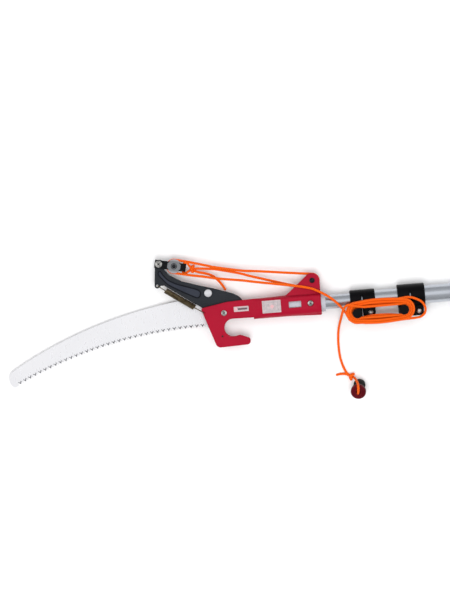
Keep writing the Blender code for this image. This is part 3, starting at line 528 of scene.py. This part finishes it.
def becket():
    """Loop round the end of the strap, its knot, and the knot's tail."""
    half = [(52.0, 1.4, 0.8), (48.6, 3.9, 1.8), (45.2, 6.9, 2.6), (41.9, 8.5, 2.7), (39.5, 6.6, 2.0)]
    other_half = [(along, -across, -z) for along, across, z in reversed(half)]
    loop = [on_block(*p) for p in half + [(39.4, 0.0, 0.0)] + other_half]
    rope("becket_loop", loop, "tip_block")
    lump, _ = rope("becket_knot_turns", knot_path(on_block(53.0, 0.2), 1.85, BLOCK_TILT), "tip_block", 0.8,
                   closed=True)
    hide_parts("becket_knot")
    tail = [(-210.6, 67.0, -0.8), (-206.6, 64.9, -1.9), (-200.6, 62.6, -3.2), (-192.6, 60.4, -4.6),
            (-184.0, 57.4, -5.4), (-177.6, 53.2, -6.0), (-171.4, 46.6, -6.8), (-165.8, 38.8, -8.2),
            (-161.6, 31.0, -9.8)]
    piece, _ = rope("becket_tail", tail, "tip_block", taper=1.2)
    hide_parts("cord_knot_tail")


def knot_path(centre, scale, heading):
    """Closed overhand knot with its axis along the heading, a little pressed down."""
    turn = Matrix.Rotation(math.radians(heading), 3, "Z")
    steps, thickness, height = 48, 1.1, 0.85
    path = []
    for k in range(steps):
        t = math.tau * k / steps
        local = Vector((math.cos(3 * t) * -thickness, math.sin(t) + 2 * math.sin(2 * t),
                        math.cos(t) - 2 * math.cos(2 * t))) * scale
        local.z *= height
        path.append(Vector(centre) + turn @ local)
    return path


def hank_turns():
    """The cord's way from the lead, round both knobs and off over the front knob. Each turn is given
    as its radius at the knobs, its height, and its radii at mid-span on the near and the far side."""
    shuffle = random.Random(7)
    left, right = Vector((KNOB_X[0], HANK_Y, 0)), Vector((KNOB_X[1], HANK_Y, 0))
    turns = [(15.7, 2.0, 18.2, 18.4), (12.0, 2.0, 14.9, 14.8), (8.3, 2.0, 11.3, 11.2),
             (9.6, 5.4, 6.1, 9.2), (12.9, 5.4, 12.9, 12.9), (16.2, 5.4, 16.6, 16.6),
             (15.3, 9.0, 18.0, 17.8), (11.7, 9.0, 14.2, 14.1), (8.4, 9.0, 8.8, 8.2)]
    front_steps, run_steps, rear_steps = 9, 8, 8
    top_layer = turns[-1][1]
    leaving = 12.4                   # height where the cord runs off the last turn
    path = []

    def put(x, y, h):
        path.append(Vector((x, y, HANK_BASE + HANK_SLOPE * y + h)))

    for number, (radius, height, near, far) in enumerate(turns):
        lean = shuffle.uniform(-0.12, 0.12)
        dip = shuffle.uniform(-0.3, 0.3)
        if number:
            old_radius, old_height = turns[number - 1][:2]
            for k in range(1, front_steps + 1):
                share = k / front_steps
                smooth = share * share * (3 - 2 * share)
                r = old_radius + (radius - old_radius) * smooth
                h = old_height + (height - old_height) * smooth
                angle = math.radians(95 + 170 * share)
                put(left.x + r * math.cos(angle), left.y + r * math.sin(angle), h)
        for k in range(1, run_steps):
            share = k / run_steps
            bow = math.sin(math.pi * share ** (1 + lean))
            put(left.x + (right.x - left.x) * share, left.y - radius - (near - radius) * bow,
                height + dip * bow)
        if number == LUG_TURN:
            path += [Vector(p) for p in ((133.6, -35.2, 12.6), (141.6, -33.2, 11.9), (147.0, -27.6, 11.7),
                                         (147.6, -19.6, 12.6), (142.6, -11.0, 16.6), (132.0, -4.8, 20.6),
                                         (121.0, -2.2, 23.0))]
        else:
            for k in range(rear_steps + 1):
                angle = math.radians(-80 + 160 * k / rear_steps)
                put(right.x + radius * math.cos(angle), right.y + radius * math.sin(angle), height)
        for k in range(1, run_steps):
            share = k / run_steps
            bow = math.sin(math.pi * share ** (1 - lean))
            h = height
            if number == LUG_TURN:
                h = height + (top_layer - height) * 0.9 * (1 - share) ** 2
            if number == len(turns) - 1:
                h = height + (leaving - height) * share
            put(right.x + (left.x - right.x) * share, right.y + radius + (far - radius) * bow, h + dip * bow)
    return path


def pull_cord():
    """The one long cord: off the lead, wound round the knobs, down to the pull handle."""
    lead_points = [LUG_FACE, (-32.0, 24.6, 10.6), (-22.6, 21.0, 11.2), (-8.0, 12.6, 14.2), (4.0, 3.6, 14.8),
                   (12.0, -4.4, 14.4), (17.5, -11.0, 14.6)]
    lead, lead_path = rope("lead", lead_points, None)
    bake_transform(lead)
    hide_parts("cord_lead")

    start = [Vector(p) for p in ((17.5, -11.0, 14.6), (20.4, -15.0, 15.2), (23.4, -20.2, 16.0),
                                 (26.4, -26.6, 15.0), (30.8, -32.2, 13.6))]
    drop = [(35.0, -9.0, 30.0), (27.6, -7.0, 29.4), (21.6, -10.2, 26.6), (18.0, -16.6, 21.0),
            (16.0, -23.4, 12.6), (13.8, -30.6, 2.6), (11.6, -38.6, -8.4), (9.9, -47.0, -14.2),
            (8.8, -57.0, -16.4), (8.3, -67.1, -16.6), (8.6, -79.8, -16.6), (10.2, -92.6, -16.6),
            (13.6, -104.6, -16.3), (17.8, -113.6, -15.4), (22.4, -118.2, -14.0), (26.6, -120.6, -12.6),
            (29.6, -123.0, -9.0), (31.4, -126.2, -0.6), (32.4, -129.4, 10.4), (32.7, -132.2, 18.4),
            (32.8, -136.2, 22.7), (32.6, -140.6, 20.8), (32.4, -144.8, 14.6), (31.8, -148.0, 8.0)]
    points = start + hank_turns() + [Vector(p) for p in drop]
    main, path = rope("pull_cord", points, "middle_section", 1.4)
    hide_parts("cord_hank", "cord_hank_loop", "cord_drop", "cord_handle_leg")

    lump, _ = rope("handle_knot_turns", knot_path((24.6, -119.4, -11.8), 1.75, -28.0), "middle_section", 0.8,
                   closed=True)
    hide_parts("handle_knot")
    tail_points = [(22.0, -118.4, -14.6), (17.0, -115.4, -16.0), (11.3, -114.5, -16.6),
                   (5.8, -114.6, -16.6), (0.4, -115.9, -16.6)]
    tail, _ = rope("handle_knot_tail", tail_points, "middle_section", taper=1.4)
    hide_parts("cord_tail")


# ---------------------------------------------------------------- spring, blade, labels

def return_spring():
    """Close-wound extension spring. Its rear hook drops into the hole in the head, its front hook into
    the hole in the lever arm."""
    low, high = Vector((*SPRING_HOLE, 0)), Vector((*LOBE, 0))
    along = (high - low).normalized()
    side = Vector((0, 0, 1)).cross(along)
    length = (high - low).length
    first, last = 17.5, length - 15.0    # where the coils start and stop
    coil_r = 3.95
    wire_r = 0.78
    turns, turn_steps = 30, 14
    steps = turns * turn_steps

    def place(distance, across, up):
        return low + along * distance + side * across + Vector((0, 0, up))

    path = spline([place(0, 0, 5.4), place(0.2, 0, 8.2), place(1.6, 0, 9.6), place(4.2, 0, 9.8),
                   place(8.4, 0, 8.4), place(13.0, 0.2, 5.0), place(first - 1.2, 0.6, coil_r)], 0.8)
    for k in range(steps + 1):
        angle = math.tau * turns * k / steps
        distance = first + (last - first) * k / steps
        path.append(place(distance, -coil_r * math.sin(angle), coil_r * math.cos(angle)))
    path += spline([place(last + 1.2, 0.4, coil_r), place(length - 9.0, 0.2, 3.4),
                    place(length - 4.0, 0, 3.0), place(length - 1.0, 0, 2.9), place(length, 0, 1.2),
                    place(length, 0, -1.6), place(length - 1.0, 0, -3.2), place(length - 3.4, 0, -3.4)], 0.8)
    obj = make("spring_coil", sweep(path, wire_r, 7), SPRING, None, sharp=80.0)
    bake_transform(obj)
    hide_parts("return_spring", "spring_hook")


def angle_at(circle, x):
    """Heading of the point on a circle's upper half at this x."""
    return math.degrees(math.acos((x - circle[0]) / circle[2]))


def saw_blade():
    """Curved blade whose teeth are ground alternately on the upper and the lower face, to points."""
    back_arc = (-156.3, -671.5, 696.1)   # centre and radius of the blade's back
    tip_arc = (-200.6, -700.9, 677.2)    # and of the curve through the teeth's points
    pitch = 4.43
    depth = 4.0                          # of a gullet, on the lower face
    top_depth = 5.5                      # and on the upper face
    grind = 3.0                          # how far a tooth is ground back on its bevelled face
    high, low = -8.3, -9.8               # the blade's two faces
    first, last = angle_at(tip_arc, -196.0), angle_at(tip_arc, -500.0)
    count = round(math.radians(last - first) * tip_arc[2] / pitch)

    def inward(degrees, distance):
        return arc(tip_arc, tip_arc[2] + distance, degrees, degrees, 1)[0]

    top, bottom = [], []
    for i in range(count):
        start = first + (last - first) * i / count
        middle = start + (last - first) / count / 2
        point = inward(middle, 0.0)
        ground = inward(middle, grind)
        top += [inward(start, top_depth), ground if i % 2 else point]
        bottom += [inward(start, depth), point if i % 2 else ground]
    rest = [(-504.5, -95.3), (-506.9, -93.4), (-509.0, -91.4), (-510.6, -88.3), (-511.5, -84.5),
            (-511.7, -81.0), (-511.2, -78.0), (-509.7, -74.2), (-507.5, -71.0)]
    rest += arc(back_arc, back_arc[2], angle_at(back_arc, -492.0), angle_at(back_arc, -236.0), 40)
    rest += [(-214.0, 14.4), (-186.0, 8.0), (-160.0, 5.6), (-157.5, -8.0), (-170.6, -16.6), (-170.0, -37.0),
             (-167.4, -45.0), (-178.6, -46.6), (-187.0, -31.0), (-193.5, -26.0)]
    bm = bmesh.new()
    upper = [bm.verts.new((x, y, high)) for x, y in top + rest]
    lower = [bm.verts.new((x, y, low)) for x, y in bottom + rest]
    bm.faces.new(upper)
    bm.faces.new(lower[::-1])
    total = len(upper)
    for i in range(total):
        j = (i + 1) % total
        # Faces round the teeth take the darker tooth steel: painted shade on the facets.
        if i < 2 * count:
            bm.faces.new((upper[i], upper[j], lower[j])).material_index = 1
            bm.faces.new((upper[i], lower[j], lower[i])).material_index = 1
        else:
            bm.faces.new((upper[i], upper[j], lower[j], lower[i]))
    obj = make("toothed_blade", bm, (BLADE, TOOTH_SHADE), "head", smooth=False)
    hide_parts("saw_blade")


def slab(outline, low, high, bm=None):
    """Flat plate of an outline between two heights, in a mesh of its own or added to one."""
    if bm is None:
        bm = bmesh.new()
    rings = [[bm.verts.new((x, y, z)) for x, y in outline] for z in (low, high)]
    bm.faces.new(rings[0])
    bm.faces.new(rings[1])
    for i in range(len(outline)):
        j = (i + 1) % len(outline)
        bm.faces.new((rings[0][i], rings[0][j], rings[1][j], rings[1][i]))
    return bm


def rounded_box(x, y, radius):
    points = []
    for cx, cy, start in ((x[1] - radius, y[1] - radius, 0), (x[0] + radius, y[1] - radius, 90),
                          (x[0] + radius, y[0] + radius, 180), (x[1] - radius, y[0] + radius, 270)):
        points += arc((cx, cy), radius, start, start + 90, 4)
    return points


def small_label():
    """Small silver label with a bare frame, a square and a bar."""
    base, face = 8.06, 8.3
    film = slab(rounded_box((-151.5, -128.2), (-3.9, 4.2), 0.7), base, face)
    plate = make("small_label", film, FILM, "head")
    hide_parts("maker_label")
    marks = [((-150.9, -128.8), (3.2, 3.7), PINK_INK), ((-150.9, -128.8), (-3.4, -2.9), PINK_INK),
             ((-150.9, -150.3), (-2.9, 3.2), PINK_INK), ((-149.6, -146.3), (-1.9, 2.2), PINK_INK),
             ((-145.3, -130.4), (-1.3, 1.6), INK)]
    for number, (x, y, material) in enumerate(marks):
        ink = slab(rounded_box(x, y, 0.2), face, face + 0.08)
        mark = make(f"small_label_mark_{number}", ink, material, "head")


def square_label():
    """Silver label whose front end follows the housing's slope, with a bare frame and a diamond."""
    edge, thick = 9.8, 0.28
    ink_low, ink_high = 15.94, 15.99
    section = ((-edge, 0.0), (-edge, thick), (edge, thick), (edge, 0.0))
    profile = ((-106.9, 15.02), (-105.4, 15.36), (-104.0, 15.62), (-90.0, 15.66), (-77.6, 15.66))
    bm = bmesh.new()
    rows = [[bm.verts.new((x, y, z + lift)) for y, lift in section] for x, z in profile]
    for one, two in zip(rows, rows[1:]):
        for k in range(4):
            bm.faces.new((one[k], one[(k + 1) % 4], two[(k + 1) % 4], two[k]))
    bm.faces.new(rows[0])
    bm.faces.new(rows[-1])
    square = make("square_label", bm, FILM, "head")
    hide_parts("guide_label")
    bars = (((-100.6, -82.4), (6.4, 7.1)), ((-100.6, -82.4), (-7.1, -6.4)),
            ((-100.6, -99.9), (-6.4, 6.4)), ((-83.1, -82.4), (-6.4, 6.4)))
    for number, (x, y) in enumerate(bars):
        corners = [(x[0], y[0]), (x[1], y[0]), (x[1], y[1]), (x[0], y[1])]
        ink = slab(corners, ink_low, ink_high)
        mark = make(f"square_label_frame_{number}", ink, PALE_INK, "head")
    diamond = [(-91.5, 3.6), (-95.1, 0.0), (-91.5, -3.6), (-87.9, 0.0)]
    mark = make("square_label_diamond", slab(diamond, ink_low, ink_high), PINK_INK, "head")


def groove_shades():
    """Near-black tube round the pressed panel of the arm and near-black ring round the rivet of the tip
    block: painted shade in the groove and in the gap round the rivet.
    """
    groove = [(-262.0, 69.3), (-257.5, 61.6), (-251.0, 54.4), (-241.0, 48.4), (-229.7, 43.9), (-214.0, 38.6),
              (-205.4, 35.0), (-202.0, 31.8), (-201.8, 27.4), (-204.4, 23.6), (-208.8, 23.4), (-218.6, 28.4),
              (-230.5, 34.8), (-242.0, 41.4), (-251.6, 47.6), (-259.0, 55.6), (-265.0, 63.6), (-264.8, 67.6)]
    path = spline([(x, y, 2.0) for x, y in groove], 1.5, True)
    panel_outline_shade = make("painted_recess_shade", sweep(path, 0.75, 8, True), RECESS_SHADE, "cutter", sharp=80.0)
    path = spline([(*p, 7.2) for p in arc(TIP_SHEAVE, 4.4, 0, 345, 23)], 1.2, True)
    ring = make("cheek_ring_shade", sweep(path, 0.5, 6, True), RECESS_SHADE, "tip_block", sharp=80.0)


def screw_cross_shades():
    """Near-black cross in the head of each screw: painted shade in its recess."""
    reach, half_width, depth = 2.3, 0.5, 1.0
    bar = ((-reach, -half_width), (reach, -half_width), (reach, half_width), (-reach, half_width))
    for name, (x, y), top, turn, body in (("pivot_cross_shade", PIVOT, 10.74, 20, "head"),
                                          ("rear_cross_shade", (-31.0, 0.4), 16.74, 65, "head"),
                                          ("tip_cross_shade", TIP_BOLT, 8.84, 35, "cutter")):
        bm = bmesh.new()
        for extra in (0, 90):
            heading = math.radians(turn + extra)
            corners = [(x + along * math.cos(heading) - across * math.sin(heading),
                        y + along * math.sin(heading) + across * math.cos(heading))
                       for along, across in bar]
            slab(corners, top - depth, top, bm)
        recess = make(name, bm, RECESS_SHADE, body, smooth=False)


reeving()
becket()
pull_cord()
return_spring()
saw_blade()
small_label()
square_label()
groove_shades()
screw_cross_shades()


# ---------------------------------------------------------------- floor, light, camera

def floor():
    reach = 9.0
    bm = bmesh.new()
    corners = ((-reach, -reach, 0), (reach, -reach, 0), (reach, reach, 0), (-reach, reach, 0))
    bm.faces.new([bm.verts.new(corner) for corner in corners])
    mesh = bpy.data.meshes.new("floor")
    bm.to_mesh(mesh)
    bm.free()
    made = Nodes("floor_white", Roughness=0.9, Specular_IOR_Level=0.1)
    made.shader.inputs["Base Color"].default_value = (0.93, 0.93, 0.93, 1)
    mesh.materials.append(made.material)
    obj = bpy.data.objects.new("floor", mesh)
    bpy.context.scene.collection.objects.link(obj)


def studio():
    """Bright surround that darkens towards -Y and +Y, and a broad soft light above the head."""
    world = bpy.data.worlds.new("studio")
    bpy.context.scene.world = world
    world.use_nodes = True
    tree = world.node_tree
    coords = tree.nodes.new("ShaderNodeTexCoord")
    split = tree.nodes.new("ShaderNodeSeparateXYZ")
    tree.links.new(coords.outputs["Generated"], split.inputs[0])
    span = tree.nodes.new("ShaderNodeMapRange")
    tree.links.new(split.outputs["Y"], span.inputs["Value"])
    span.inputs["From Min"].default_value = -1.0
    ramp = tree.nodes.new("ShaderNodeValToRGB")
    tree.links.new(span.outputs[0], ramp.inputs["Fac"])
    stops = [(0.0, 0.40), (0.25, 0.52), (0.36, 0.62), (0.41, 0.95), (0.50, 1.0), (0.70, 1.0), (0.77, 0.62),
             (0.85, 0.52), (1.0, 0.42)]
    while len(ramp.color_ramp.elements) < len(stops):
        ramp.color_ramp.elements.new(0.5)
    for element, (place, value) in zip(ramp.color_ramp.elements, stops):
        element.position = place
        element.color = (value, value, value * 1.01, 1)
    background = tree.nodes["Background"]
    tree.links.new(ramp.outputs[0], background.inputs["Color"])
    background.inputs["Strength"].default_value = 1.2

    aim = spot((-60.0, 0.0, 0.0))
    offset = Vector((-0.2, -1.0, 3.2))
    light = bpy.data.lights.new("key", "AREA")
    light.shape = "SQUARE"
    light.size = 1.3
    light.energy = 53.0
    lamp = bpy.data.objects.new("key", light)
    bpy.context.scene.collection.objects.link(lamp)
    lamp.location = aim + offset
    lamp.rotation_euler = (-offset).to_track_quat("-Z", "Y").to_euler()
    lamp.visible_glossy = False


def camera():
    """Long lens, straight above the head, turned so that the pole rises to the right."""
    height = 6.0
    seen = 0.942                     # what the picture's long side takes in at the floor
    data = bpy.data.cameras.new("camera")
    data.sensor_width = 36.0
    data.lens = data.sensor_width * height / seen
    data.clip_end = 50.0
    obj = bpy.data.objects.new("camera", data)
    bpy.context.scene.collection.objects.link(obj)
    obj.location = spot((-164.1, 16.1, 0.0)) + Vector((0, 0, height))
    obj.rotation_euler = (0, 0, -math.radians(POLE_RISE))
    bpy.context.scene.camera = obj


floor()
studio()
camera()
bpy.context.scene.view_settings.view_transform = "Standard"
